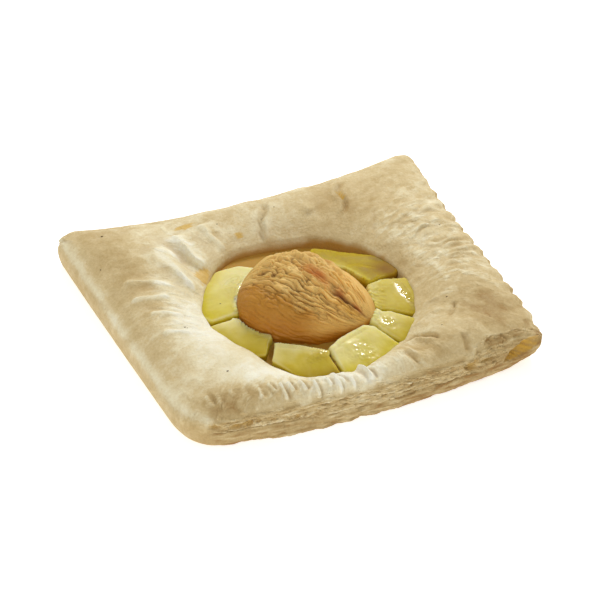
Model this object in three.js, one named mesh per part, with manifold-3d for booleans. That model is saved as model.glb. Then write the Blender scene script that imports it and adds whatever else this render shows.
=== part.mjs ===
// Puff pastry square with a round well that holds fruit pieces in syrup and one large wrinkled nut.
// Millimetres, +Z up, X along the front edge, origin under the middle of the whole box.
import * as THREE from 'three';
import Module from 'manifold-3d';
import { mergeVertices } from 'three/addons/utils/BufferGeometryUtils.js';

// Driving dimensions of the pastry
const length = 104;
const depth = 91;
const rimHeight = 12.4;
const baseThickness = 2.2;
const wellRadius = 27.2;
const wellCentre = new THREE.Vector2(-1.6, -7.4);
const gap = 0.35;

// The outline's four corners, how far back each starts to round, and the columns of faces it gets
const halfLength = length / 2;
const halfDepth = depth / 2;
const corners = [
  { at: new THREE.Vector2(-halfLength + 5.4, -halfDepth + 2.6), round: 15, columns: 7 },
  { at: new THREE.Vector2(halfLength - 3, -halfDepth + 5), round: 3, columns: 4 },
  { at: new THREE.Vector2(halfLength - 3, halfDepth), round: 3.5, columns: 4 },
  { at: new THREE.Vector2(-halfLength, halfDepth), round: 4.5, columns: 4 },
];

// Front, right, back and left side: bow out of line, S-shaped sway, scallops and how far layers show
const sides = [
  { bow: 2.6, sway: 0, columns: 30, scallops: 0, layering: 1 },
  { bow: -0.5, sway: 0.5, columns: 56, scallops: 14, layering: 0.6 },
  { bow: -6.4, sway: 0, columns: 24, scallops: 0, layering: 0.7 },
  { bow: 0.3, sway: 0, columns: 22, scallops: 0, layering: 0.25 },
];
const scallopDepth = 0.45;

// The rim: lower at the front than at the back, crest set back from the well, shoulder over the side
const frontSag = -1.2;
const backRise = 0.5;
const crestSetback = 13;
const crestShare = 0.6;
const wellEdgeDrop = 3.8;
const shoulder = {
  height: 8.8, slope: 0.025, from: 38, inset: 1.4,
  leftDrop: 2, leftFrom: 0.7, leftOver: 0.25,
};

// Where the well's edge is drawn out (reach above 0) or in, by its angle round the well
const wellBends = [
  { angle: THREE.MathUtils.degToRad(122), spread: 0.4, reach: 2 },
  { angle: THREE.MathUtils.degToRad(207), spread: 0.5, reach: -3.1 },
];

// Local swellings (rise above 0) and hollows (rise below 0) of the crust, with their half widths
const puffs = [
  { x: 9, y: -37, rx: 6, ry: 5, rise: 1.1 },
  { x: 27, y: -35, rx: 9, ry: 7, rise: 1.9 },
  { x: 33, y: -15, rx: 8, ry: 8, rise: 1 },
  { x: 31, y: 14, rx: 9, ry: 9, rise: 0.6 },
  { x: 6, y: 27, rx: 8, ry: 6, rise: 0.7 },
  { x: -38, y: 24, rx: 8, ry: 9, rise: 0.7 },
  { x: -35, y: -4, rx: 6, ry: 9, rise: 0.8 },
  { x: -25, y: -28, rx: 8, ry: 8, rise: 1.2 },
  { x: 0.3, y: -42, rx: 3, ry: 6, rise: -1.1 },
  { x: 17, y: -35, rx: 3, ry: 4, rise: -1 },
  { x: -24, y: 19, rx: 4, ry: 9, rise: -1.6 },
  { x: -27, y: -16, rx: 8, ry: 10, rise: 1.4 },
  { x: -24, y: 33, rx: 11, ry: 8, rise: -1.2 },
];
const edgeFade = 3;

// Base lip, which thickens toward the left, by its insets at shares of its height, then the parting line
// above it and the layers over that
const lip = {
  height: 2.2, leftRise: 1.7, riseFrom: 12, riseOver: 45,
  profile: [
    { share: 0, inset: 1.4 },
    { share: 0.25, inset: 0.4 },
    { share: 0.6, inset: 0 },
    { share: 1, inset: 0.4 },
  ],
};
const parting = {
  height: 0.5, depth: 0.5, layerDepth: 0.8, closed: 0.4, openFrom: 0.25, openOver: 0.3,
  profile: [
    { share: 0.2, depthShare: 0.6 },
    { share: 0.5, depthShare: 1 },
    { share: 0.8, depthShare: 0.7 },
  ],
};
const layerInsets = [1.2, 0.6, 1.2, 0.7, 1.3, 0.9];

// The front right corner: its underside curls up and the layers above part from it in a mouth
const curl = { x: halfLength, y: -halfDepth + 2, rx: 15, ry: 9, rise: 2.6 };
const mouth = { x: 44.5, y: -halfDepth + 3, rx: 3.6, ry: 5, height: 4.8, reach: 3.4 };
const mouthRoof = { thickness: 1.6, step: 0.3, fall: 8 };

// The nut, an ovoid sunk in the syrup, with a pointed end and shallow ridges. The crease runs along its
// top at an angle in radians that leans with the place along the nut and hooks down to the point.
const nut = {
  centre: new THREE.Vector3(-2.5, -8.1, 9.5),
  halfLong: 17.6, halfWide: 15.2, halfHigh: 10.1, turn: THREE.MathUtils.degToRad(-40), taper: 0.23,
  crease: { angle: 1.52, lean: 0.35, hook: 0.79, depth: 1.2, width: 0.17, from: -0.4, fadeIn: 0.5 },
  ridges: 9, ridgeHeight: 0.2, ridgeTwist: 2,
  skin: { around: 44, along: 24 }, room: { around: 28, along: 16 }, clearance: 1.5 * gap,
};

// Fruit pieces by the corners of their upper faces, which lean outward and down to the well's wall
const syrupLevel = 6.6;
const fruit = { top: 10, bottom: 3.4, bevel: 0.8, lean: 0.05, middle: 20 };
const fruitOutlines = [
  [[-9.5, 10], [-12, 13], [-17, 13.5], [-25.2, 5.5], [-26.7, -0.5], [-25.5, -4.4], [-19.8, -5.4], [-16.2, 4]],
  [[-26.4, -5.6], [-21.6, -6.6], [-19, -10.5], [-15.9, -17.2], [-18.2, -21.8], [-24.7, -18.8], [-26.6, -11]],
  [[-16, -20.2], [-4.7, -27.4], [-3.9, -33.5], [-12.2, -32.4], [-17.9, -23.6]],
  [[-3.7, -26.9], [-0.6, -25.6], [6.8, -23], [9.7, -23.6], [12.6, -28.2], [2, -34], [-3.1, -33.6]],
  [[9.6, -20.4], [12.8, -17.9], [15.5, -18.6], [19.7, -20.6], [19.2, -23.4], [13.9, -28], [10.6, -23.6]],
  [[14.8, -8.2], [18.5, -5.8], [23.8, -5.4], [25.2, -10.6], [21.2, -19.6], [16.3, -17.7], [12.4, -16.9]],
  [[7, 12.4], [19.7, 5.2], [24.6, 2], [24.6, -0.9], [21.6, -3.6], [15.2, -6.2], [12, 1], [4.5, 7]],
];

const { lerp, clamp } = THREE.MathUtils;
const wasm = await Module();
wasm.setup();

// A bell-shaped weight, 1 at the place and fading over its half widths
function near(place, x, y) {
  return Math.exp(-(((x - place.x) / place.rx) ** 2) - ((y - place.y) / place.ry) ** 2);
}

function smooth(t) {
  const s = clamp(t, 0, 1);
  return s * s * (3 - 2 * s);
}

// The outline as four side curves joined by rounded corners, walked from the front left corner
function outlinePoints() {
  const points = [];
  corners.forEach((corner, i) => {
    const side = sides[i];
    const sideBefore = sides[(i + 3) % 4];
    const before = corners[(i + 3) % 4];
    const next = corners[(i + 1) % 4];
    const run = corner.at.distanceTo(next.at);
    const enter = corner.at.clone().lerp(before.at, corner.round / corner.at.distanceTo(before.at));
    const leave = corner.at.clone().lerp(next.at, corner.round / run);
    const arrive = next.at.clone().lerp(corner.at, next.round / run);
    const along = arrive.clone().sub(leave).normalize();
    const outward = new THREE.Vector2(along.y, -along.x);
    const middle = leave.clone().lerp(arrive, 0.5).addScaledVector(outward, 2 * side.bow);
    const bend = new THREE.QuadraticBezierCurve(enter, corner.at, leave);
    const edge = new THREE.QuadraticBezierCurve(leave, middle, arrive);
    for (let k = 0; k < corner.columns; k++) {
      const t = k / corner.columns;
      points.push({ point: bend.getPoint(t), layering: lerp(sideBefore.layering, side.layering, t) });
    }
    for (let k = 0; k < side.columns; k++) {
      const t = k / side.columns;
      const sway = side.sway * Math.sin(2 * Math.PI * t);
      const scallop = scallopDepth * Math.sin(2 * Math.PI * side.scallops * t);
      const point = edge.getPoint(t).addScaledVector(outward, sway + scallop);
      points.push({ point, layering: side.layering });
    }
  });
  return points;
}

// One spoke runs from the well's centre through each outline point
const spokes = outlinePoints().map(({ point, layering }) => {
  const offset = point.clone().sub(wellCentre);
  const well = wellBends.reduce((sum, bend) => {
    const off = (offset.angle() - bend.angle) / bend.spread;
    return sum + bend.reach * Math.exp(-off * off);
  }, wellRadius);
  return { point, layering, well, reach: offset.length(), ray: offset.clone().normalize() };
});

function placeOn(spoke, r) {
  return wellCentre.clone().addScaledVector(spoke.ray, r);
}

function crestHeight(spoke) {
  return rimHeight + lerp(frontSag, backRise, 0.5 + 0.5 * spoke.ray.y);
}

function shoulderHeight(spoke) {
  const left = smooth((-spoke.ray.x - shoulder.leftFrom) / shoulder.leftOver);
  const far = Math.max(0, spoke.reach - shoulder.from);
  return shoulder.height - shoulder.slope * far - shoulder.leftDrop * left;
}

// Height of the crust's upper face at a distance r from the well's centre
function topHeight(spoke, r) {
  const width = spoke.reach - spoke.well;
  const crest = Math.min(crestSetback, crestShare * width);
  const out = r - spoke.well;
  const fall = (out - crest) / (width - crest);
  const dip = (crest - out) / crest;
  let z = crestHeight(spoke);
  z -= out > crest ? (z - shoulderHeight(spoke)) * fall * fall : wellEdgeDrop * dip * dip;
  const { x, y } = placeOn(spoke, r);
  for (const puff of puffs) {
    z += smooth((spoke.reach - r) / edgeFade) * puff.rise * near(puff, x, y);
  }
  return z;
}

// The well's wall from its edge (share 1) to its floor (share 0): inset from the edge and height
const wallShares = [1, 0.7, 0.4, 0.12, 0];
const wallInsets = [0, 0.8, 1.5, 2.4, 4.6];

function wallPoint(spoke, share, clearance) {
  const i = Math.max(1, wallShares.findIndex((below) => share >= below));
  const t = (wallShares[i - 1] - share) / (wallShares[i - 1] - wallShares[i]);
  const inset = lerp(wallInsets[i - 1], wallInsets[i], t);
  const z = lerp(baseThickness, topHeight(spoke, spoke.well), share);
  return { r: spoke.well - inset - clearance, z: z + clearance * (1 - share) };
}

function lipHeight(point) {
  return lip.height + lip.leftRise * smooth((lip.riseFrom - point.x) / lip.riseOver);
}

// Side of the pastry: base lip, parting line or mouth, then layers that stand in and out in turn
function sideRows(spoke) {
  const { reach, layering, point } = spoke;
  const lift = curl.rise * near(curl, point.x, point.y);
  const open = near(mouth, point.x, point.y);
  const lipTop = lift + lipHeight(point);
  const layersFrom = lipTop + parting.height + mouth.height * open;
  const layersTo = Math.max(shoulderHeight(spoke), layersFrom + mouthRoof.thickness);
  const parted = smooth((layering - parting.openFrom) / parting.openOver);
  const slit = lerp(parting.closed, parting.depth + parting.layerDepth * layering, parted);
  const split = slit + mouth.reach * open;
  const rows = lip.profile.map(({ share, inset }) => ({ r: reach - inset, z: lerp(lift, lipTop, share) }));
  for (const { share, depthShare } of parting.profile) {
    rows.push({ r: reach - depthShare * split, z: lerp(lipTop, layersFrom, share) });
  }
  layerInsets.forEach((inset, i) => {
    rows.push({ r: reach - inset * layering, z: lerp(layersFrom, layersTo, i / layerInsets.length) });
  });
  return rows;
}

// All rows of the pastry on one spoke, from under the middle round the side and into the well
const undersideShare = 0.5;
const undersideInset = 9;
const topShares = [0.97, 0.85, 0.7, 0.55, 0.4, 0.26, 0.12, 0];
const floorShare = 0.5;

function pastryRows(spoke) {
  const rows = [
    { r: undersideShare * spoke.reach, z: 0 },
    { r: spoke.reach - undersideInset, z: 0 },
    ...sideRows(spoke),
  ];
  const lastLayer = rows[rows.length - 1].z;
  for (const share of topShares) {
    const r = lerp(spoke.well, spoke.reach - shoulder.inset, share);
    const roof = lastLayer + mouthRoof.step - mouthRoof.fall * (1 - share);
    rows.push({ r, z: Math.max(topHeight(spoke, r), roof) });
  }
  for (const share of wallShares.slice(1)) {
    rows.push(wallPoint(spoke, share, 0));
  }
  rows.push({ r: floorShare * spoke.well, z: baseThickness });
  return rows;
}

// A closed skin over a grid of rings, with one point closing each end
function closedSkin(first, rings, last) {
  const count = rings[0].length;
  const positions = [first, ...rings.flat(), last].flatMap((point) => point.toArray());
  const at = (ring, i) => 1 + ring * count + (i % count);
  const lastIndex = 1 + rings.length * count;
  const faces = [];
  for (let i = 0; i < count; i++) {
    faces.push(0, at(0, i + 1), at(0, i));
    for (let ring = 0; ring < rings.length - 1; ring++) {
      faces.push(at(ring, i), at(ring, i + 1), at(ring + 1, i + 1));
      faces.push(at(ring, i), at(ring + 1, i + 1), at(ring + 1, i));
    }
    faces.push(at(rings.length - 1, i), at(rings.length - 1, i + 1), lastIndex);
  }
  const geometry = new THREE.BufferGeometry();
  geometry.setAttribute('position', new THREE.Float32BufferAttribute(positions, 3));
  geometry.setIndex(faces);
  return geometry;
}

// A solid swept round the well's centre from the rows that each chosen spoke has
function spokeSolid(chosen, rowsOf, bottom, top) {
  const columns = chosen.map((spoke) => rowsOf(spoke).map(({ r, z }) => {
    const place = placeOn(spoke, r);
    return new THREE.Vector3(place.x, place.y, z);
  }));
  const rings = columns[0].map((_, ring) => columns.map((column) => column[ring]));
  const onAxis = (z) => new THREE.Vector3(wellCentre.x, wellCentre.y, z);
  return closedSkin(onAxis(bottom), rings, onAxis(top));
}

// What fills the well up to a level, clear of its wall and floor, on one spoke in a few
const fillStep = 3;

function wellFill(level) {
  const chosen = spokes.filter((_, i) => i % fillStep === 0);
  const lowShares = wallShares.slice(2).reverse();
  return spokeSolid(chosen, (spoke) => {
    const levelShare = (level - baseThickness) / (topHeight(spoke, spoke.well) - baseThickness);
    const rows = lowShares.map((share) => wallPoint(spoke, share, gap));
    rows.push({ r: wallPoint(spoke, levelShare, gap).r, z: level });
    return rows;
  }, baseThickness + gap, level);
}

// The nut swells to a blunt end and draws to a point; ridges and the crease fade toward both ends
function nutPoint(s, angle, grow) {
  const { crease } = nut;
  const round = Math.sqrt(Math.max(0, 1 - s * s)) * (1 - nut.taper * s);
  const offCrease = (angle - crease.angle - crease.lean * s - crease.hook * s ** 4) / crease.width;
  const alongCrease = smooth((s - crease.from) / crease.fadeIn) * (1 - s ** 8);
  const groove = crease.depth * Math.exp(-offCrease * offCrease) * alongCrease;
  const ridge = nut.ridgeHeight * Math.sin(nut.ridges * angle + nut.ridgeTwist * s) * (1 - s * s);
  const swell = grow + ridge - groove;
  const across = (nut.halfWide + swell) * round * Math.cos(angle);
  const upward = (nut.halfHigh + swell) * round * Math.sin(angle);
  const point = new THREE.Vector3((nut.halfLong + grow) * s, across, upward);
  point.applyAxisAngle(new THREE.Vector3(0, 0, 1), nut.turn).add(nut.centre);
  point.z = Math.max(point.z, fruit.bottom - grow);
  return point;
}

function nutGeometry(grow, { around, along }) {
  const rings = [];
  for (let j = 1; j < along; j++) {
    const s = -Math.cos((Math.PI * j) / along);
    rings.push(Array.from({ length: around }, (_, i) => nutPoint(s, (2 * Math.PI * i) / around, grow)));
  }
  return closedSkin(nutPoint(-1, 0, grow), rings, nutPoint(1, 0, grow));
}

// A fruit piece is its upper outline run down to the syrup's bed, with rounded edges
function fruitGeometry(outline, grow) {
  const shape = new THREE.Shape(outline.map(([x, y]) => new THREE.Vector2(x, y)));
  const geometry = new THREE.ExtrudeGeometry(shape, {
    depth: fruit.top - fruit.bottom - 2 * fruit.bevel + 2 * grow,
    bevelThickness: fruit.bevel,
    bevelSize: fruit.bevel,
    bevelOffset: grow - fruit.bevel,
    bevelSegments: 2,
  });
  geometry.translate(0, 0, fruit.bottom + fruit.bevel - grow);
  const position = geometry.attributes.position;
  for (let i = 0; i < position.count; i++) {
    const out = Math.hypot(position.getX(i) - wellCentre.x, position.getY(i) - wellCentre.y);
    const lean = 1 + fruit.lean * (fruit.middle - out);
    position.setZ(i, fruit.bottom + (position.getZ(i) - fruit.bottom) * lean);
  }
  return geometry;
}

function toManifold(geometry) {
  const bare = geometry.clone();
  bare.deleteAttribute('normal');
  bare.deleteAttribute('uv');
  const merged = mergeVertices(bare);
  return new wasm.Manifold(new wasm.Mesh({
    numProp: 3,
    vertProperties: new Float32Array(merged.attributes.position.array),
    triVerts: new Uint32Array(merged.index.array),
  }));
}

// The largest body of a cut solid, without the scraps that the cuts leave
function toGeometry(solid) {
  const bodies = solid.decompose().sort((a, b) => b.volume() - a.volume());
  const mesh = bodies[0].getMesh();
  const geometry = new THREE.BufferGeometry();
  geometry.setAttribute('position', new THREE.BufferAttribute(new Float32Array(mesh.vertProperties), 3));
  geometry.setIndex(new THREE.BufferAttribute(new Uint32Array(mesh.triVerts), 1));
  return geometry;
}

function finish(colour, roughness) {
  return new THREE.MeshStandardMaterial({ color: colour, roughness, metalness: 0 });
}

const crustFinish = finish(0xd2bb86, 0.75);
const nutFinish = finish(0xb57f3c, 0.7);
const fruitFinish = finish(0xc9ba58, 0.25);
const syrupFinish = finish(0x9a6c20, 0.15);

const group = new THREE.Group();

function addPiece(name, geometry, material) {
  const mesh = new THREE.Mesh(geometry, material);
  mesh.name = name;
  group.add(mesh);
}

addPiece('pastry', spokeSolid(spokes, pastryRows, 0, baseThickness), crustFinish);
addPiece('nut', nutGeometry(0, nut.skin), nutFinish);

// Fruit stays inside the well and clear of the nut, and the syrup is cut round both
const nutRoom = toManifold(nutGeometry(nut.clearance, nut.room));
const fruitRoom = toManifold(wellFill(fruit.top + gap));
let syrup = toManifold(wellFill(syrupLevel)).subtract(nutRoom);
fruitOutlines.forEach((outline, i) => {
  const piece = toManifold(fruitGeometry(outline, 0)).intersect(fruitRoom).subtract(nutRoom);
  addPiece(`fruit_${i + 1}`, toGeometry(piece), fruitFinish);
  syrup = syrup.subtract(toManifold(fruitGeometry(outline, gap)));
});
addPiece('syrup', toGeometry(syrup), syrupFinish);

// The origin goes under the middle of the whole box
const box = new THREE.Box3().setFromObject(group);
const middle = box.getCenter(new THREE.Vector3());
group.position.set(-middle.x, -middle.y, -box.min.z);

export default group;
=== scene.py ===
import math
import bmesh
import bpy
import numpy as np
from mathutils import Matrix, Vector
from mathutils.bvhtree import BVHTree


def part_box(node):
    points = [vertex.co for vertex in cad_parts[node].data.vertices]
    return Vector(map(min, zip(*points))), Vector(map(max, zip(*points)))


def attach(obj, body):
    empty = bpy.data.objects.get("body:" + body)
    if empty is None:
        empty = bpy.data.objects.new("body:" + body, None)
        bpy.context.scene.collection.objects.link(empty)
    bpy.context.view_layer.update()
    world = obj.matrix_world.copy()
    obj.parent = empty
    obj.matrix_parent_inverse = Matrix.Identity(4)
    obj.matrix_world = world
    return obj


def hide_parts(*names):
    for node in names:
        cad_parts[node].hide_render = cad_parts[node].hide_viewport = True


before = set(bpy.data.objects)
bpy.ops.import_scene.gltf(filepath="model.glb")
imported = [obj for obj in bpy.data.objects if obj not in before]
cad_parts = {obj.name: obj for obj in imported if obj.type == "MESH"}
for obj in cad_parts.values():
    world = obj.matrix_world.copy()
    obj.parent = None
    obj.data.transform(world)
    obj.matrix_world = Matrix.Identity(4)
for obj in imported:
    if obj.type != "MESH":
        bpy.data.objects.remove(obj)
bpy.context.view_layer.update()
scene = bpy.context.scene
mm = 0.001  # shapes are worked out in millimetres and stored in metres


def smooth(t):
    t = np.clip(t, 0, 1)
    return t * t * (3 - 2 * t)


def mix(a, b, t):
    return a + (b - a) * t


def bell(t):
    return np.exp(-t ** 2)


def near(x, y, spot):  # bell-shaped weight, 1 in the middle of the spot
    return np.exp(-((x - spot["x"]) / spot["rx"]) ** 2 - ((y - spot["y"]) / spot["ry"]) ** 2)


def raised(x, y, spots):  # sum of the spots' heights or tones
    return sum(spot["rise"] * near(x, y, spot) for spot in spots)


def turned(x, y, along):  # places along a direction and across it
    return x * along[0] + y * along[1], x * along[1] - y * along[0]


def stack(x, y, z=0.0):
    return np.stack(np.broadcast_arrays(x, y, z), -1).astype(float)


def named(keys, *rows):  # one dictionary for each row of values
    return tuple(dict(zip(keys.split(), row)) for row in rows)


noiseKeys = np.array([73856093, 19349663, 83492791])


def noise(points, seed=0):  # smooth gradient noise, about -1 to 1
    cell = np.floor(points).astype(np.int64)
    part = points - cell
    ease = part ** 3 * (part * (part * 6 - 15) + 10)
    total = np.zeros(points.shape[:-1])
    for corner in np.ndindex(2, 2, 2):
        key = (((cell + corner) * noiseKeys).sum(-1) + 7919 * seed) % 2 ** 32
        key = (key ^ (key >> 13)) * 1274126177 % 2 ** 32
        key = (key ^ (key >> 15)) * 1597334677 % 2 ** 32
        turn = key % 65536 / 65536 * 2 * math.pi
        rise = key // 65536 / 32768 - 1
        flat = np.sqrt(1 - rise * rise)
        away = part - corner
        slope = flat * (np.cos(turn) * away[..., 0] + np.sin(turn) * away[..., 1]) + rise * away[..., 2]
        total += slope * np.where(corner, ease, 1 - ease).prod(-1)
    return 1.6 * total


def blur(field, rounds):  # evens a field out over a grid of rows that close into rings
    for _ in range(rounds):
        padded = np.concatenate([field[:1], field, field[-1:]])
        field = (padded[:-2] + 2 * padded[1:-1] + padded[2:]) / 4
        field = (np.roll(field, 1, 1) + 2 * field + np.roll(field, -1, 1)) / 4
    return field


def gridNormals(grid):  # outward normals of rings that run up the outside
    alongRing = np.roll(grid, -1, 1) - np.roll(grid, 1, 1)
    acrossRings = np.gradient(grid, axis=0)
    normal = np.cross(alongRing, acrossRings)
    return normal / np.maximum(np.linalg.norm(normal, axis=-1, keepdims=True), 1e-9)


def addObject(name, data):
    thing = bpy.data.objects.new(name, data)
    scene.collection.objects.link(thing)
    return thing


def storeField(mesh, key, values):
    mesh.attributes.new(key, "FLOAT", "POINT").data.foreach_set("value", values.astype(np.float32))


def shadeSmooth(mesh):
    mesh.polygons.foreach_set("use_smooth", [True] * len(mesh.polygons))


def closedSkin(name, first, rings, last, fields):  # rings of points closed by one point at each end
    rows, count = rings.shape[:2]
    points = np.concatenate([[first], rings.reshape(-1, 3), [last]])
    here = np.arange(count)
    after = (here + 1) % count
    lower = 1 + np.arange(rows - 1)[:, None] * count
    quads = np.stack([lower + here, lower + after, lower + count + after, lower + count + here], -1)
    top = len(points) - 1
    start = top - count
    caps = [(0, 1 + b, 1 + a) for a, b in zip(here.tolist(), after.tolist())]
    caps += [(start + a, start + b, top) for a, b in zip(here.tolist(), after.tolist())]
    mesh = bpy.data.meshes.new(name)
    mesh.from_pydata((points * mm).tolist(), [], quads.reshape(-1, 4).tolist() + caps)
    for key, field in fields.items():
        storeField(mesh, key, np.concatenate([[field[0].mean()], field.ravel(), [field[-1].mean()]]))
    shadeSmooth(mesh)
    return addObject(name, mesh)


def finishPiece(piece, material, slot, *nodes):
    piece.data.materials.clear()
    piece.data.materials.append(material)
    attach(piece, "root")
    if nodes:
        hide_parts(*nodes)
    print("piece", piece.name, len(piece.data.polygons), "faces")


# Shader helpers
def srgb(red, green, blue):  # 0 to 255 as seen, to the linear values that shaders use
    return tuple(((c / 255 + 0.055) / 1.055) ** 2.4 for c in (red, green, blue)) + (1,)


class Shader:  # short forms for building one material or node group
    def __init__(self, tree):
        self.tree = tree

    def add(self, kind, inputs=None, **settings):
        node = self.tree.nodes.new(kind)
        for key, value in settings.items():
            setattr(node, key, value)
        for key, value in (inputs or {}).items():
            self.feed(value, node.inputs[key])
        return node

    def feed(self, value, socket):
        if isinstance(value, bpy.types.NodeSocket):
            self.tree.links.new(value, socket)
        else:
            socket.default_value = value

    def attribute(self, name):
        return self.add("ShaderNodeAttribute", attribute_name=name).outputs["Fac"]

    def place(self):
        return self.add("ShaderNodeTexCoord").outputs["Object"]

    def math(self, operation, *values):
        return self.add("ShaderNodeMath", dict(enumerate(values)), operation=operation).outputs[0]

    def vector(self, operation, *values):
        return self.add("ShaderNodeVectorMath", dict(enumerate(values)), operation=operation).outputs[0]

    def noise(self, place, scale, detail, roughness=0.5, distortion=0.0):
        fine = {"Detail": detail, "Roughness": roughness, "Distortion": distortion}
        return self.add("ShaderNodeTexNoise", {"Vector": place, "Scale": scale, **fine}).outputs["Fac"]

    def blend(self, share, low, high):
        colours = {"Factor": share, 6: low, 7: high}  # sockets 6 and 7 are the two colours
        return self.add("ShaderNodeMix", colours, data_type="RGBA").outputs[2]

    def tint(self, colour, field, strength, *over):  # lays a colour over another where a field says
        share = self.math("MULTIPLY", self.attribute(field), strength)
        return self.blend(share, colour, srgb(*over))

    def span(self, value, low, high, to=(0.0, 1.0)):  # eases from one end of a range to the other
        ends = {"Value": value, "From Min": low, "From Max": high, "To Min": to[0], "To Max": to[1]}
        return self.add("ShaderNodeMapRange", ends, interpolation_type="SMOOTHSTEP").outputs["Result"]

    def ramp(self, value, stops):  # colours at places from 0 to 1
        node = self.add("ShaderNodeValToRGB", {"Fac": value})
        elements = node.color_ramp.elements
        for _ in stops[2:]:
            elements.new(0.5)
        for element, (place, colour) in zip(elements, stops):
            element.position = place
            element.color = srgb(*colour)
        return node.outputs["Color"]


def newMaterial(name, settings):
    material = bpy.data.materials.new(name)
    material.use_nodes = True
    surface = material.node_tree.nodes["Principled BSDF"].inputs
    for key, value in settings.items():
        surface[key].default_value = value
    return material, Shader(material.node_tree), surface


def subsurface(weight, *radius):  # settings for light that spreads under the surface
    return {"Subsurface Weight": weight, "Subsurface Radius": radius, "Subsurface Scale": 1.0}


def addSockets(tree, side, kind, *names):  # inputs or outputs of a node group
    for name in names:
        tree.interface.new_socket(name, in_out=side, socket_type="NodeSocket" + kind)


def makeGrainGroup():  # patches, fine grain and pores, used by every material of the pastry
    tree = bpy.data.node_groups.new("fineGrain", "ShaderNodeTree")
    addSockets(tree, "INPUT", "Float", "Size", "Stretch")
    addSockets(tree, "OUTPUT", "Float", "Patches", "Grain", "Pores")
    shader = Shader(tree)
    given = shader.add("NodeGroupInput").outputs
    place = shader.place()
    scale = shader.add("ShaderNodeCombineXYZ", {"X": 1.0, "Y": 1.0, "Z": given["Stretch"]}).outputs[0]
    place = shader.vector("MULTIPLY", place, scale)
    patchSize = shader.math("MULTIPLY", given["Size"], 0.22)
    pores = shader.add("ShaderNodeTexVoronoi", {"Vector": place, "Scale": given["Size"], "Randomness": 1.0})
    out = shader.add("NodeGroupOutput").inputs
    shader.feed(shader.noise(place, patchSize, 5.0, 0.6), out["Patches"])
    shader.feed(shader.noise(place, given["Size"], 4.0, 0.65), out["Grain"])
    shader.feed(pores.outputs["Distance"], out["Pores"])
    return tree


grainGroup = makeGrainGroup()


def addGrain(shader, size, stretch=1.0):
    return shader.add("ShaderNodeGroup", {"Size": size, "Stretch": stretch}, node_tree=grainGroup).outputs


def addBump(shader, surface, height, strength, distance):
    bump = shader.add("ShaderNodeBump", {"Strength": strength, "Distance": distance * mm, "Height": height})
    shader.feed(bump.outputs["Normal"], surface["Normal"])


# Camera at the photograph's angle
view = {
    "azimuth": -22, "elevation": 38, "lens": 180, "distance": 0.7587,
    "target": (-0.00063, -0.00193, 0.0058),
}


def makeCamera():
    azimuth, elevation = math.radians(view["azimuth"]), math.radians(view["elevation"])
    level = math.cos(elevation)
    back = Vector((math.sin(azimuth) * level, -math.cos(azimuth) * level, math.sin(elevation)))
    data = bpy.data.cameras.new("camera")
    data.lens = view["lens"]
    camera = addObject("camera", data)
    camera.location = Vector(view["target"]) + back * view["distance"]
    camera.rotation_euler = back.to_track_quat("Z", "Y").to_euler()
    scene.camera = camera


makeCamera()
print("camera set")

# Studio: a soft key from behind on the right, a weak fill from the front left, a pale floor
studio = {
    "lights": (
        {"name": "key", "from": (0.54, 0.74, 0.8), "size": 0.3, "power": 9},
        {"name": "fill", "from": (-0.7, -0.7, 0.6), "size": 0.9, "power": 3},
    ),
    "sky": 0.5, "floor": (0.93, 0.93, 0.93, 1), "floorSize": 6, "floorGlow": 0.55,
}


def makeStudio():
    for lamp in studio["lights"]:
        data = bpy.data.lights.new(lamp["name"], "AREA")
        data.size = lamp["size"]
        data.energy = lamp["power"]
        light = addObject(lamp["name"], data)
        light.location = lamp["from"]
        light.rotation_euler = Vector(lamp["from"]).to_track_quat("Z", "Y").to_euler()
    world = bpy.data.worlds.new("sky")
    world.use_nodes = True
    sky = world.node_tree.nodes["Background"].inputs
    sky["Color"].default_value = (1, 1, 1, 1)
    sky["Strength"].default_value = studio["sky"]
    scene.world = world
    scene.view_settings.view_transform = "Standard"
    half = studio["floorSize"] / 2
    mesh = bpy.data.meshes.new("floor")
    corners = [(-half, -half, 0), (half, -half, 0), (half, half, 0), (-half, half, 0)]
    mesh.from_pydata(corners, [], [(0, 1, 2, 3)])
    floor = addObject("floor", mesh)
    material = newMaterial("paleFloor", {
        "Base Color": studio["floor"], "Roughness": 0.9, "Specular IOR Level": 0.1,
        "Emission Color": (1, 1, 1, 1), "Emission Strength": studio["floorGlow"],
    })[0]
    mesh.materials.append(material)


makeStudio()
print("studio set")

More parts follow.
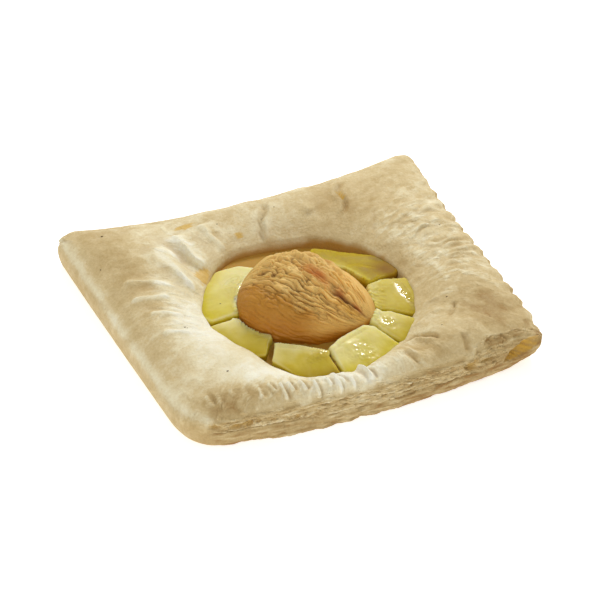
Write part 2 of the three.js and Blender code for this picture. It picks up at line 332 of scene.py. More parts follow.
# Pastry crust, laid out on spokes from the middle of its well
crust = {
    "rimHeight": 12.4, "baseThickness": 2.2, "wellRadius": 27.2, "wellCentre": (-1.6, -7.4),
    "corners": named(  # front left, front right, back right, back left
        "at round columns",
        ((-46.6, -42.9), 15, 30),
        ((49, -40.5), 3, 14),
        ((49, 45.5), 3.5, 14),
        ((-52, 45.5), 4.5, 14),
    ),
    "sides": named(  # front, right, back, left
        "bow sway columns scallops layering",
        (2.6, 0, 300, 0, 1),
        (-0.5, 0.5, 170, 14, 0.6),
        (-6.4, 0, 72, 0, 0.7),
        (0.3, 0, 90, 0, 0.12),
    ),
    "scallopDepth": 0.42, "edgeWave": 0.24, "wellWave": 0.6, "frontFrom": -36,
    "frontSag": -1.2, "backRise": 0.5, "crestSetback": 13, "crestShare": 0.6, "wellEdgeDrop": 3.8,
    "shoulder": {
        "height": 8.8, "slope": 0.025, "from": 38, "inset": 1.4,
        "leftDrop": 2, "leftFrom": 0.7, "leftOver": 0.25,
    },
    "wellBends": named("angle spread reach", (115, 0.32, 2), (207, 0.5, -3.1), (320, 0.45, -1.5)),
    "puffs": named(  # swellings and hollows of the upper face: middle, half sizes, height
        "x y rx ry rise",
        (9, -37, 6, 5, 1.5),
        (27, -35, 9, 7, 2.3),
        (33, -15, 8, 8, 1.3),
        (31, 14, 9, 9, 0.6),
        (6, 27, 8, 6, 0.7),
        (-38, 24, 8, 9, 0.7),
        (-35, -4, 6, 9, 0.8),
        (-25, -28, 8, 8, 1.2),
        (0.3, -42, 3, 6, -1.1),
        (17, -35, 3, 4, -1.5),
        (-24, 19, 4, 9, -1.6),
        (-27, -16, 8, 10, 1.4),
        (-21, 33, 13, 8, -1.6),
    ),
    "edgeFade": 3,
    "lip": {
        "height": 3.4, "leftRise": 1.3, "leftFrom": -8, "rightRise": 0.5, "rightFrom": 8, "over": 26,
        "inset": 0.7, "leftInset": 0.9, "rightInset": 1.2, "round": 0.3, "bulgeAt": -19, "bulgeHalf": 12,
    },
    "parting": {"height": 0.3, "depth": 0.45, "wholeFrom": -13, "over": 7},  # unbroken at the left
    "curl": {"x": 52, "y": -40.5, "rx": 8, "ry": 9, "rise": 3.6},
    "mouth": {"x": 43, "half": 5.8, "height": 4.2, "dip": 0.6, "reach": 3, "ribs": 0.9},
    "torn": {"depth": 3.6, "from": 27, "over": 12, "upTo": -33.5, "fade": 3.5, "step": 0.3},
    "pillow": 3,
    "roof": {"thickness": 1.2, "step": 0.3, "fall": 8},
    "sideInset": 0.12, "layerPitch": 0.65, "layerInset": 0.85, "layerBulge": 0.26, "skinDrop": 1.1,
    "pockets": named(  # gaps between the layers of the front side: place, half sizes and depth
        "x z long high depth",
        (-40, 6.5, 0.8, 0.6, 1.6),
        (-35.2, 6.1, 1.3, 0.8, 1.6),
        (-32.2, 6.2, 1.4, 0.85, 1.8),
        (-29.6, 6.3, 0.8, 0.6, 1.3),
        (-25.9, 5.9, 0.8, 0.4, 1),
        (-19.5, 5.2, 0.8, 0.55, 1.1),
        (-17.4, 5.1, 0.6, 0.5, 1),
        (5, 5.2, 2.2, 0.3, 0.9),
        (13, 6.4, 2.4, 0.3, 0.9),
        (28.4, 6.2, 1.9, 1.3, 2.4),
        (33, 6.3, 1.8, 0.45, 1.2),
    ),
    "wallShares": (0, 0.12, 0.4, 0.7, 1), "wallInsets": (4.6, 2.4, 1.5, 0.8, 0),
    "rows": {"lip": 16, "parting": 11, "layers": 40, "top": 59, "wall": 9},
}


def bezier(a, b, c, t):
    return (1 - t) ** 2 * a + 2 * t * (1 - t) * b + t * t * c


def crustOutline():  # side curves joined by rounded corners, from the front left corner round
    corners, sides = crust["corners"], crust["sides"]
    places = [np.array(corner["at"], float) for corner in corners]
    points, layering = [], []
    for i, (corner, side) in enumerate(zip(corners, sides)):
        here, before, following = places[i], places[i - 1], places[(i + 1) % 4]
        run = np.linalg.norm(following - here)
        enter = mix(here, before, corner["round"] / np.linalg.norm(here - before))
        leave = mix(here, following, corner["round"] / run)
        arrive = mix(following, here, corners[(i + 1) % 4]["round"] / run)
        along = (arrive - leave) / np.linalg.norm(arrive - leave)
        outward = np.array([along[1], -along[0]])
        t = (np.arange(corner["columns"]) / corner["columns"])[:, None]
        points.append(bezier(enter, here, leave, t))
        layering.append(mix(sides[i - 1]["layering"], side["layering"], smooth((t[:, 0] - 0.55) / 0.3)))
        t = (np.arange(side["columns"]) / side["columns"])[:, None]
        wave = side["sway"] * np.sin(2 * np.pi * t)
        if side["scallops"]:
            uneven = noise(stack(7 * t, 0.0), 6)
            depth = crust["scallopDepth"] * (1 + 0.8 * uneven) * mix(0.3, 1, smooth((0.95 - t) / 0.3))
            wave = wave + depth * np.sin(2 * np.pi * (side["scallops"] * t + 0.35 * uneven))
            wave = wave + crust["edgeWave"] * noise(stack(55 * t, 0.0), 8)
        bent = mix(leave, arrive, 0.5) + 2 * side["bow"] * outward
        points.append(bezier(leave, bent, arrive, t) + outward * wave)
        layering.append(np.full(side["columns"], side["layering"]))
    return np.concatenate(points), np.concatenate(layering)


edge, layering = crustOutline()
wellCentre = np.array(crust["wellCentre"])
boxLow, boxHigh = (np.array(corner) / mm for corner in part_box("pastry"))
shift = (boxLow + boxHigh)[:2] / 2 - (edge.min(0) + edge.max(0)) / 2  # from the layout to the frame
edgeX, edgeY = edge[:, 0], edge[:, 1]


def edgeNoise(size, seed, height=0.0):  # noise along the crust's edge
    return noise(stack(edgeX / size, edgeY / size, height), seed)


spoke = edge - wellCentre
reach = np.hypot(spoke[:, 0], spoke[:, 1])
ray = spoke / reach[:, None]
bearing = np.arctan2(ray[:, 1], ray[:, 0])
ragged = edgeNoise(6, 3) + 0.5 * edgeNoise(2, 4)
reach = reach + crust["edgeWave"] * (ragged - 0.6) * smooth(layering / 0.5)
well = crust["wellRadius"] + 0 * bearing
for bend in crust["wellBends"]:
    off = bearing % (2 * np.pi) - math.radians(bend["angle"])
    well = well + bend["reach"] * bell(off / bend["spread"])
well = well + crust["wellWave"] * noise(stack(4 * ray[:, 0], 4 * ray[:, 1]), 5)
crestHeight = crust["rimHeight"] + mix(crust["frontSag"], crust["backRise"], 0.5 + 0.5 * ray[:, 1])
shoulder = crust["shoulder"]
shoulderHeight = shoulder["height"] - shoulder["slope"] * np.maximum(0, reach - shoulder["from"])
onLeft = smooth((-ray[:, 0] - shoulder["leftFrom"]) / shoulder["leftOver"])
shoulderHeight = shoulderHeight - shoulder["leftDrop"] * onLeft
onFront = smooth((crust["frontFrom"] - edgeY) / 2)
shown = smooth((layering - 0.2) / 0.3)  # where the layers of the side show
torn = crust["torn"]
tornFrom = torn["from"] + 1.5 * edgeNoise(2.5, 46)
tornShare = smooth((edgeX - tornFrom) / torn["over"]) * smooth((torn["upTo"] - edgeY) / torn["fade"])
setBack = torn["depth"] * tornShare + crust["pillow"] * (1 - shown)  # of the upper skin from the foot
skinInset = shoulder["inset"] + setBack


def onSpokes(r):
    return wellCentre[0] + ray[:, 0] * r, wellCentre[1] + ray[:, 1] * r


def topHeight(r):  # height of the crust's upper face at a distance r from the well's middle
    width = reach - well
    crest = np.minimum(crust["crestSetback"], crust["crestShare"] * width)
    out = r - well
    fall = (out - crest) / (width - crest)
    dip = (crest - out) / crest
    outer = (crestHeight - shoulderHeight) * fall ** 2
    slope = np.where(out > crest, outer, crust["wellEdgeDrop"] * dip ** 2)
    fade = smooth((reach - r) / crust["edgeFade"])
    return crestHeight - slope + fade * raised(*onSpokes(r), crust["puffs"])


# Creases and folds of the upper face: half width, depth (below 0 is a ridge), raised lip (below 0 on the
# other side), how much wider a ridge's gentle slope is, and places along each
creases = named(
    "width depth lip gentle path",
    (0.9, -1.2, 0, 2.8, ((-32, 25), (-30.5, 16), (-28.2, 8.9), (-26.6, 6))),
    (0.9, -1.2, 0, 2.8, ((-25.4, 29.5), (-24.1, 23.8), (-22, 17.9), (-20.2, 15))),
    (1.4, 0.3, 0, 1, ((-27.6, 26.7), (-25.3, 18.7), (-24.2, 12.6))),
    (0.8, -0.9, 0, 2.5, ((-16.7, 31.6), (-15.9, 24.5), (-13.2, 20.1))),
    (0.8, 0.35, 0, 1, ((-14.5, 27), (-14, 23.7), (-12.9, 20.9))),
    (0.55, 0.9, 0.4, 1, ((1.5, 31.9), (0.2, 28), (-1.7, 25.8), (-2.7, 22.9), (-2.7, 20))),
    (0.5, 0.9, -0.5, 1, ((24.6, 35.7), (21.3, 29.1), (21.3, 24.6), (19.7, 20.1))),
    (0.8, -0.8, 0, 2, ((8.6, 32), (10.2, 27), (12, 23.5))),
    (0.7, 0.3, 0, 1, ((27.6, 19.4), (24.4, 13.7), (23.7, 11))),
    (0.9, -0.6, 0, 1, ((-44, 14.8), (-37.5, 11.4), (-31, 7.8))),
    (0.8, -0.6, 0, 1, ((-44, 7.2), (-39, 5), (-33.9, 4))),
    (0.7, -0.55, 0, 1, ((-42, -0.4), (-39, -1.4), (-33.5, -4.4))),
    (0.7, -0.5, 0, 1, ((-41.5, -8.9), (-39.1, -9.3), (-34, -11.6))),
    (0.5, 0.45, -0.9, 1, ((0.6, -34.5), (1.9, -39), (2.2, -42.6))),
    (0.6, 0.45, -0.35, 1, ((-7, -35.5), (-5.4, -40), (-5, -42))),
    (0.6, 0.6, -0.3, 1, ((12, -31), (17.2, -30), (19, -31), (20.4, -33.9), (21.1, -37.1))),
    (0.9, 0.6, 0, 1, ((27.1, -37), (26.9, -41.7))),
    (0.6, 0.5, 0.3, 1, ((11, -37), (12.6, -39.2), (13.7, -41.9))),
    (0.45, 0.75, 0.15, 1, ((31.4, -23.3), (28.9, -26.7), (27.2, -28.5))),
    (0.7, -0.4, 0, 1, ((21, -22), (25, -19.5), (29, -19.6))),
    (0.7, -0.4, 0, 1, ((19, -26.5), (24, -24.2), (28, -24.6))),
)
creaseDepth = 1.5  # times the depths above
frontWrinkles = {  # short ridges across the front crest: their places along X and the crest's line
    "x": (-38.2, -35.8, -32.8, -29.4, -26, -23.4, -20.5, -18.4, -15.9, -12.4, -9.2, -7.4, -3.3),
    "crest": (-33, -0.2), "length": 6, "width": 0.38, "depth": 0.6, "lip": -0.85,
}
scallopRidges = {"edge": 49, "from": -37.5, "run": 79.5, "slant": 0.3, "reach": 6, "rise": 0.6}
sideWrinkles = named(  # areas of fine parallel ridges; below 0 they are narrow valleys
    "x y rx ry along spacing length rise",
    (38, 4, 8, 19, (0.97, 0.22), 2.2, 8, -1.1),
    (-36, 2, 7, 13, (0.93, -0.36), 2.4, 9, 0.38),
    (-8, -38, 26, 4, (0.25, -0.97), 1.9, 5, 0.22),
    (18, 30, 28, 9, (-0.2, -0.98), 4.5, 14, -0.4),
)
crinkles = named(  # areas of irregular crinkles
    "x y rx ry rise",
    (37, 0, 11, 26, 0.8),
    (-35, -3, 9, 17, 0.38),
    (-14, -38, 30, 5, 0.9),
    (-24, 25, 11, 11, 0.5),
)


def creaseRelief(x, y, crease):  # fades out at both ends; ridges are crisp and creases are round
    best = np.full(x.shape, np.inf)
    side = np.zeros(x.shape)
    place = np.zeros(x.shape)
    path = np.array(crease["path"], float)
    lengths = np.linalg.norm(np.diff(path, axis=0), axis=1)
    start = 0
    for a, b, length in zip(path, path[1:], lengths):
        run = b - a
        t = np.clip(((x - a[0]) * run[0] + (y - a[1]) * run[1]) / (run @ run), 0, 1)
        dx, dy = x - a[0] - t * run[0], y - a[1] - t * run[1]
        distance = np.hypot(dx, dy)
        closer = distance < best
        best = np.where(closer, distance, best)
        side = np.where(closer, np.sign(run[0] * dy - run[1] * dx), side)
        place = np.where(closer, (start + t * length) / lengths.sum(), place)
        start += length
    width = crease["width"]
    lipSide = best * side * (1 if crease["lip"] > 0 else -1)
    lip = abs(crease["lip"]) * bell((lipSide - 2 * width) / (1.5 * width)) * (best < 6 * width)
    fold = bell(best / width)
    if crease["depth"] < 0:
        fold = np.exp((0.15 - np.hypot(best, 0.15)) / np.where(side > 0, crease["gentle"], 1) / width)
    return (lip - crease["depth"] * fold) * smooth(place / 0.18) * smooth((1 - place) / 0.18)


def topRelief(x, y):  # folds, creases and wrinkles of the upper face
    place = stack(x, y)
    relief = 0.3 * noise(place / 9, 11) + 0.14 * noise(place / 4, 12)
    relief += 0.06 * noise(place / 1.8, 13) + 0.03 * noise(place / 0.9, 14)
    crinkled = 0.15 + raised(x, y, crinkles)
    relief -= crinkled * (0.3 * np.abs(noise(place / 4, 16)) + 0.12 * np.abs(noise(place / 1.8, 10)))
    for seed, area in enumerate(sideWrinkles, 20):
        along, across = turned(x, y, area["along"])
        across = across / area["spacing"] + 0.5 * noise(place / 5, seed + 10)
        ridge = noise(stack(along / area["length"], across), seed)
        relief += area["rise"] * near(x, y, area) * (0.7 - 1.9 * np.abs(ridge))
    ridges = scallopRidges
    inward = np.maximum(ridges["edge"] - x, 0)
    turns = (y + ridges["slant"] * inward - ridges["from"]) / ridges["run"] * crust["sides"][1]["scallops"]
    turns = turns + 0.25 * noise(place / 6, 17) * smooth(inward / 6)
    lobe = np.abs(np.sin(np.pi * turns + np.pi / 4)) - 0.64
    strength = ridges["rise"] * bell(inward / ridges["reach"]) * smooth((y - ridges["from"]) / 6)
    relief += strength * lobe * (0.7 + 0.6 * noise(place / 9, 18))
    wobble = 0.4 * noise(place / 4.5, 19)
    for crease in creases:
        relief += creaseDepth * creaseRelief(x + wobble, y + 0.7 * wobble, crease)
    for i, across in enumerate(frontWrinkles["x"]):
        crest = frontWrinkles["crest"][0] + frontWrinkles["crest"][1] * (across + 36)
        length = frontWrinkles["length"] * (0.75 + 0.25 * math.sin(2.3 * i))
        lean = 0.5 * math.sin(4.1 * i) + 0.4
        path = ((across, crest), (across + lean, crest - length))
        relief += (0.75 + 0.25 * math.sin(5.7 * i)) * creaseRelief(x, y, {"path": path, **frontWrinkles})
    return relief


def sideLayers(z, base, top):  # inset of the side's flaky layers, under the ragged edge of the upper skin
    over = z - base
    drift = 0.5 * edgeNoise(12, 51, over / 5) + 0.25 * edgeNoise(3.5, 52, over / 2)
    level = (over + drift) / crust["layerPitch"]
    within = level - np.floor(level)
    bulge = (4 * within * (1 - within)) ** 0.5
    uneven = 0.24 * edgeNoise(3, 53, level) + 0.2 * edgeNoise(1.2, 54, 1.4 * level)
    slits = smooth((edgeNoise(2, 57, 1.1 * level) - 0.3) / 0.2)
    crumbs = 0.14 * edgeNoise(0.7, 50, z / 0.45)
    inset = crust["layerInset"] - crust["layerBulge"] * bulge - uneven + 0.35 * slits + crumbs
    skinEdge = top - crust["skinDrop"] + 0.5 * edgeNoise(4, 58) + 0.3 * edgeNoise(1.2, 49)
    skin = smooth((z - skinEdge) / 0.25) * (1 - tornShare)
    return mix(inset, 0.2 + 0.12 * edgeNoise(3, 59, z / 2), skin)


def pocketDepth(z):  # how far the gaps between layers reach in
    depth = 0 * reach
    for pocket in crust["pockets"]:
        shape = ((edgeX - pocket["x"]) / pocket["long"]) ** 2 + ((z - pocket["z"]) / pocket["high"]) ** 2
        depth = np.maximum(depth, 0.65 * pocket["depth"] * smooth(1.6 - shape) * onFront)
    return depth


def crustRows():
    rows = crust["rows"]
    lip, mouth, parting = crust["lip"], crust["mouth"], crust["parting"]
    lift = crust["curl"]["rise"] * near(edgeX, edgeY, crust["curl"])
    opened = np.clip(1 - ((edgeX - mouth["x"]) / mouth["half"]) ** 2, 0, 1) ** 0.8 * onFront
    atLeft = smooth((lip["leftFrom"] - edgeX) / lip["over"])
    atRight = smooth((edgeX - lip["rightFrom"]) / lip["over"])
    lipTop = lift + lip["height"] + lip["leftRise"] * atLeft + lip["rightRise"] * atRight
    lipTop = lipTop - mouth["dip"] * opened
    layersFrom = lipTop + parting["height"] + mouth["height"] * opened
    skinHeight = topHeight(reach - skinInset) - torn["step"] * tornShare
    layersTo = mix(shoulderHeight, skinHeight, np.maximum(tornShare, 1 - shown))
    layersTo = np.maximum(layersTo, layersFrom + crust["roof"]["thickness"] * shown)
    broken = smooth((edgeNoise(4.5, 55) + 0.1) / 0.45)
    broken = np.maximum(broken, smooth((parting["wholeFrom"] - edgeX) / parting["over"]))
    split = parting["depth"] * shown * broken
    lipInset = lip["inset"] + lip["leftInset"] * atLeft + lip["rightInset"] * atRight
    bulgeOut = bell((edgeX - lip["bulgeAt"]) / lip["bulgeHalf"])
    lipInset = lipInset + (0.5 * edgeNoise(5, 48) - bulgeOut) * shown
    r = [0.5 * reach, reach - 9, reach - 4]  # the under side, from the middle out
    z = [0 * reach, 0 * reach, 0.3 * lift]
    for share in np.linspace(0, 1, rows["lip"]):
        inset = lipInset * (1 - share) ** 2.2 + lip["round"] * shown * max(0, (share - 0.6) / 0.4) ** 2
        height = mix(lift, lipTop, share)
        inset = inset + 0.25 * edgeNoise(3.5, 56, height / 2) * (0.15 + 0.85 * shown)
        flaked = layering * shown * (sideLayers(height, lipTop, layersTo + 9) - 0.25)
        r.append(reach - inset - 0.7 * flaked - crust["sideInset"])
        z.append(height)
    sideR, sideZ = [], []
    for share in np.arange(rows["layers"]) / rows["layers"]:
        height = mix(layersFrom, layersTo, share)
        turnIn = mix(shoulder["inset"] * share ** 3, 0.9 * max(0, (share - 0.7) / 0.3) ** 2, shown)
        layers = layering * shown * sideLayers(height, layersFrom, layersTo)
        back = setBack * share ** mix(2.4, 1.2, shown)
        sideR.append(reach - crust["sideInset"] - layers - turnIn - back - pocketDepth(height))
        sideZ.append(height + 0.5 * tornShare * share * edgeNoise(1.6, 47, 4 * share))
    lipEdge = r[-1]
    for share in (np.arange(rows["parting"]) + 0.5) / rows["parting"]:
        ribs = noise(stack((edgeX + 3 * share) / 0.9, 0.0), 60)
        gap = split + (mouth["reach"] + mouth["ribs"] * ribs) * opened
        r.append(mix(lipEdge, sideR[0], share) - gap * math.sin(math.pi * share) ** 0.7)
        z.append(mix(lipTop, layersFrom, share))
    r += sideR
    z += sideZ
    lastLayer = z[-1]
    for share in 1 - ((np.arange(rows["top"]) + 0.5) / rows["top"]) ** 1.08:
        out = mix(well, reach - skinInset, share)
        r.append(out)
        roof = lastLayer + crust["roof"]["step"] * shown - crust["roof"]["fall"] * (1 - share)
        z.append(np.maximum(topHeight(out), roof))
    edgeHeight = topHeight(well)
    for share in 1 - (np.arange(rows["wall"]) + 1) / rows["wall"]:
        r.append(well - np.interp(share, crust["wallShares"], crust["wallInsets"]))
        z.append(mix(crust["baseThickness"], edgeHeight, share))
    r.append(0.5 * well)
    z.append(0 * well + crust["baseThickness"])
    kinds = ["under"] * 3
    for kind in ("lip", "parting", "layers", "top", "wall"):
        kinds += [kind] * rows[kind]
    return np.array(r), np.array(z), np.array(kinds + ["floor"]), opened, broken


def inFrame(points):
    return points + np.append(shift, 0)


def wellMiddle(height):
    return np.append(wellCentre + shift, height)


def inRows(kinds, *names):  # which rows of the crust's grid are of these kinds
    return np.isin(kinds, names)[:, None]


# Tone of the crust, from baking and from painted light and shade: 0 is palest, 1 is brown. Spots are browner
# (rise above 0) or paler (below 0) than the rest
bake = {
    "tone": 0.46, "patches": 0.08,
    "side": {"tone": 0.68, "rightRise": 0.17, "lipRise": 0.22, "share": 0.6, "layers": 0.36},
    "shoulderHighlight": {"height": 8, "width": 1.2, "reach": 7, "pale": 0.32},  # painted highlight in a band along the left shoulder
    # painted highlight on raised crests and ridges, stronger at the left and front
    "crestHighlight": {"pale": 0.06, "morePale": 0.22},
    "soak": {"rise": 1.7, "backRise": 1.1, "fade": 1.3, "reach": 4},  # syrup drawn up by the wall
    # spots: partly baking, partly painted shade and painted light on slopes
    "spots": named(
        "x y rx ry rise",
        (-42, 30, 14, 16, 0.18),
        (-40.5, 6, 6, 18, 0.16),
        (-38, -37, 9, 7, 0.38),
        (38, -29, 10, 11, 0.42),
        (21, 24, 10, 8, 0.3),
        (27, -3, 5, 12, 0.12),
        (17, -38, 8, 5, 0.3),
        (-24, -38, 12, 3.4, 0.22),
        (-30, -8, 8.5, 17, -0.42),
        (-18, -31, 18, 4.5, -0.4),
        (-4, -39, 14, 4.2, -0.33),
        (40, -7, 8, 14, 0.07),
        (-27, 23, 8, 10, -0.26),
        (35, 31, 10, 9, 0.1),
    ),
    "golden": named(  # small flakes of a stronger colour
        "x y rx ry",
        (-20.5, 32, 3, 1.5),
        (-21.7, 12.8, 3.6, 3.4),
        (-8.5, 23.7, 1.5, 1),
        (21.6, 28, 0.7, 2.2),
        (46, -36.5, 2, 1.8),
    ),
    "streaks": named(  # areas of pale flaking, with the direction, length and width of the streaks
        "x y rx ry along length width pale",
        (-34, 0, 9, 15, (0.93, -0.36), 6, 1.5, 0.07),
        (-22, 24, 11, 12, (-0.4, 0.92), 7, 2.2, 0.1),
        (32, 2, 12, 26, (0.99, 0.1), 5, 1.4, 0.08),
        (-8, -35, 28, 6, (0.35, -0.94), 4, 1.1, 0.14),
    ),
}
syrupLevel = 6.6  # height of the syrup's surface


def crustFields(grid, r, kinds, opened):
    x, y, z = grid[..., 0], grid[..., 1], grid[..., 2]
    inLayers, inParting, inLip = (inRows(kinds, kind) for kind in ("layers", "parting", "lip"))
    tone = bake["tone"] + bake["patches"] * (noise(grid / 10, 61) + 0.7 * noise(grid / 3.5, 62))
    tone = tone + raised(x, y, bake["spots"])
    for seed, area in enumerate(bake["streaks"], 40):
        along, across = turned(x, y, area["along"])
        streak = noise(stack(along / area["length"], across / area["width"]), seed)
        streak = streak + 0.3 * noise(grid / 1.5, seed)
        tone = tone - area["pale"] * near(x, y, area) * smooth((streak + 0.05) / 0.35)
    tone = tone + 0.06 * smooth((noise(grid / 3.2, 67) - 0.2) / 0.3)
    side = bake["side"]
    layers = side["layers"] * noise(stack(x / 4, y / 4, z / 0.6), 65) * (inLip | inLayers) * shown
    sideTone = side["tone"] + side["rightRise"] * smooth(edgeX / 15) * shown
    sideTone = sideTone + side["lipRise"] * inLip * shown
    tone = np.where(inLip | inParting | inLayers, mix(tone, sideTone, side["share"]) + layers, tone)
    tone = mix(blur(tone, 14), tone, shown)
    # painted highlight in a band along the left shoulder
    band = bake["shoulderHighlight"]
    offBand = (z - band["height"] - 0.4 * noise(grid / 7, 68)) / band["width"]
    shoulderHighlight = bell(offBand) * smooth((noise(grid / 6, 69) + 0.75) / 0.6)
    tone = tone - band["pale"] * shoulderHighlight * (r > reach - band["reach"]) * (1 - shown)
    soak = bake["soak"]
    soakedTo = syrupLevel + soak["rise"] + soak["backRise"] * smooth((x - 4) / 8) * smooth(y / 4)
    soaked = smooth((soakedTo - z + 0.5 * noise(grid / 3, 64)) / soak["fade"]) * (r < well + soak["reach"])
    soaked = soaked * mix(0.3, 1, smooth((ray[:, 1] - 0.1) / 0.4))
    flecks = sum(near(x, y, spot) for spot in bake["golden"]) + 0.3 * noise(grid / 1.1, 66)
    golden = 0.9 * smooth((flecks - 0.45) / 0.18) * inRows(kinds, "top")
    upMouth = np.cumsum(inParting)[:, None] / crust["rows"]["parting"]
    ribs = 0.75 - 0.9 * noise(stack((edgeX + 3 * upMouth) / 0.9, 0.0), 60)
    golden = golden + opened * ribs * inParting
    golden = golden + 0.35 * np.array([pocketDepth(row) for row in z]) * inLayers
    tone = tone + 0.2 * opened * inParting
    flaky = inLayers * layering * onFront
    backRight = smooth((ray[:, 0] + ray[:, 1]) / 0.4)
    calm = mix(1, smooth((r - well - 2) / 5), backRight)  # the crust is smooth there, round the well
    wrinkled = (0.2 + raised(x, y, crinkles)) * calm * inRows(kinds, "top", "layers") * (1 - flaky)
    golden = np.clip(golden, 0, 1)
    return {"tone": tone, "soaked": soaked, "flaky": flaky, "golden": golden, "wrinkled": wrinkled}


def makeCrust():
    r, z, kinds, opened, broken = crustRows()
    x, y = onSpokes(r)
    grid = stack(x, y, z)
    isTop = (kinds == "top").astype(float)
    weight = np.convolve(isTop, np.ones(7) / 7, "same") * isTop
    weight = np.maximum(weight, 0.35 * (kinds == "wall"))[:, None] * np.ones_like(r)
    relief = weight * topRelief(x, y)
    grid = grid + gridNormals(grid) * relief[..., None]
    low = np.append(boxLow[:2] - shift, 0)
    high = np.append(boxHigh[:2] - shift, boxHigh[2])
    grid = np.clip(grid, low, high)  # the crust stays inside the frame's box
    flakyRows = inRows(kinds, "lip", "layers")
    rough = np.where(flakyRows, r - blur(r, 12), relief - blur(relief, 30))
    # painted shade in the hollows of the upper face and between the side's layers
    shadeInHollows = smooth(-rough / 0.55) * (flakyRows | inRows(kinds, "top")) * (1 - 0.7 * tornShare)
    # painted shade along the broken parting line
    split = inRows(kinds, "parting") * np.clip(0.3 - 2 * opened, 0, 1) * shown * broken
    fields = crustFields(grid, r, kinds, opened)
    # painted highlight: raised crests and ridges of the upper face are made paler
    leftCrests = smooth((-8 - x) / 8) * (1 - 0.6 * smooth((y - 8) / 8))
    frontCrests = smooth((-28 - y) / 6) * smooth((14 - x) / 10)
    highlightPaling = bake["crestHighlight"]["pale"] + bake["crestHighlight"]["morePale"] * np.maximum(leftCrests, frontCrests)
    fields["tone"] = fields["tone"] - highlightPaling * smooth(rough / 0.4) * isTop[:, None]
    fields["shadeInHollows"] = blur(np.maximum(shadeInHollows, split), 1)
    foot, bed = wellMiddle(0), wellMiddle(crust["baseThickness"])
    return closedSkin("pastryCrust", foot, inFrame(grid), bed, fields)


def makeCrustMaterial():
    settings = {"Specular IOR Level": 0.25, **subsurface(0.08, 0.0012, 0.001, 0.0007)}
    material, shader, surface = newMaterial("bakedCrust", settings)
    grain = addGrain(shader, 1500.0)
    streaks = addGrain(shader, 800.0, 3.5)
    mottled = shader.math("MULTIPLY_ADD", grain["Patches"], 0.34, shader.attribute("tone"))
    mottled = shader.math("MULTIPLY_ADD", grain["Grain"], 0.36, mottled)
    mottled = shader.math("SUBTRACT", mottled, 0.35)
    place = shader.place()
    level = shader.vector("MULTIPLY", place, (1.0, 1.0, 0.0))
    fromMiddle = shader.vector("SUBTRACT", level, tuple(wellMiddle(0) * mm))
    length = shader.add("ShaderNodeVectorMath", {0: fromMiddle}, operation="LENGTH").outputs["Value"]
    aim = shader.vector("NORMALIZE", fromMiddle)
    aim = shader.add("ShaderNodeVectorMath", {0: aim, "Scale": 15.0}, operation="SCALE").outputs[0]
    out = shader.add("ShaderNodeCombineXYZ", {"Z": shader.math("MULTIPLY", length, 190.0)}).outputs[0]
    folds = shader.noise(shader.vector("ADD", aim, out), 1.0, 4.0, 0.6, 0.4)  # they run out from the well
    wrinkle = shader.math("MULTIPLY", shader.span(folds, 0.46, 0.64), shader.attribute("wrinkled"))
    mottled = shader.math("MULTIPLY_ADD", wrinkle, -0.26, mottled)
    colour = shader.ramp(mottled, (
        (0.0, (250, 245, 222)), (0.28, (236, 223, 184)), (0.5, (215, 193, 144)),
        (0.7, (195, 169, 117)), (0.85, (180, 151, 99)), (1.0, (164, 127, 74)),
    ))
    # painted shade in hollows, creases and along the parting line
    colour = shader.tint(colour, "shadeInHollows", 0.5, 172, 138, 84)
    pores = shader.math("MULTIPLY", shader.span(streaks["Pores"], 0.2, 0.06), shader.attribute("flaky"))
    pores = shader.math("MULTIPLY", pores, shader.span(streaks["Patches"], 0.46, 0.62))
    colour = shader.blend(pores, colour, srgb(146, 108, 60))
    colour = shader.tint(colour, "golden", 0.85, 214, 170, 64)
    colour = shader.tint(colour, "soaked", 1.0, 178, 132, 56)
    shader.feed(colour, surface["Base Color"])
    shader.feed(shader.span(grain["Patches"], 0.3, 0.7, (0.6, 0.8)), surface["Roughness"])
    bumps = shader.math("ADD", grain["Grain"], streaks["Grain"])
    addBump(shader, surface, shader.math("MULTIPLY_ADD", wrinkle, 1.5, bumps), 0.5, 0.4)
    return material


crustMaterial = makeCrustMaterial()
crustPiece = makeCrust()
finishPiece(crustPiece, crustMaterial, "crust", "pastry")

# Nut: a wrinkled ovoid with a crease along its top to the pointed end
nut = {
    "centre": (-2.5, -8.1, 9.5), "turn": math.radians(-40), "bed": 3.4, "around": 380, "along": 240,
    "halfLong": 17.6, "halfWide": 15.2, "halfHigh": 10.1, "taper": 0.23,
    "crease": {"angle": 1.44, "lean": 0.5, "hook": 0.5, "from": -0.4, "fadeIn": 0.3},
    "wrinkles": 2.5, "fineWrinkles": 1, "wrinkleLength": 8.5, "wrinkleWidth": 1.2, "girth": 12.5,
    "strip": {"near": 1.1, "far": -1.1, "fade": 0.55, "faint": 0.2},  # where the wrinkles show
    "reddened": named("at size", (0.1, 0.2), (0.52, 0.07), (0.8, 0.08)),  # places along the crease
}
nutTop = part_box("nut")[1][2] / mm


def nutPlace(along, across, upward):
    turn, centre = nut["turn"], nut["centre"]
    x = along * math.cos(turn) - across * math.sin(turn) + centre[0]
    y = along * math.sin(turn) + across * math.cos(turn) + centre[1]
    return inFrame(stack(x, y, np.clip(upward + centre[2], nut["bed"], nutTop)))


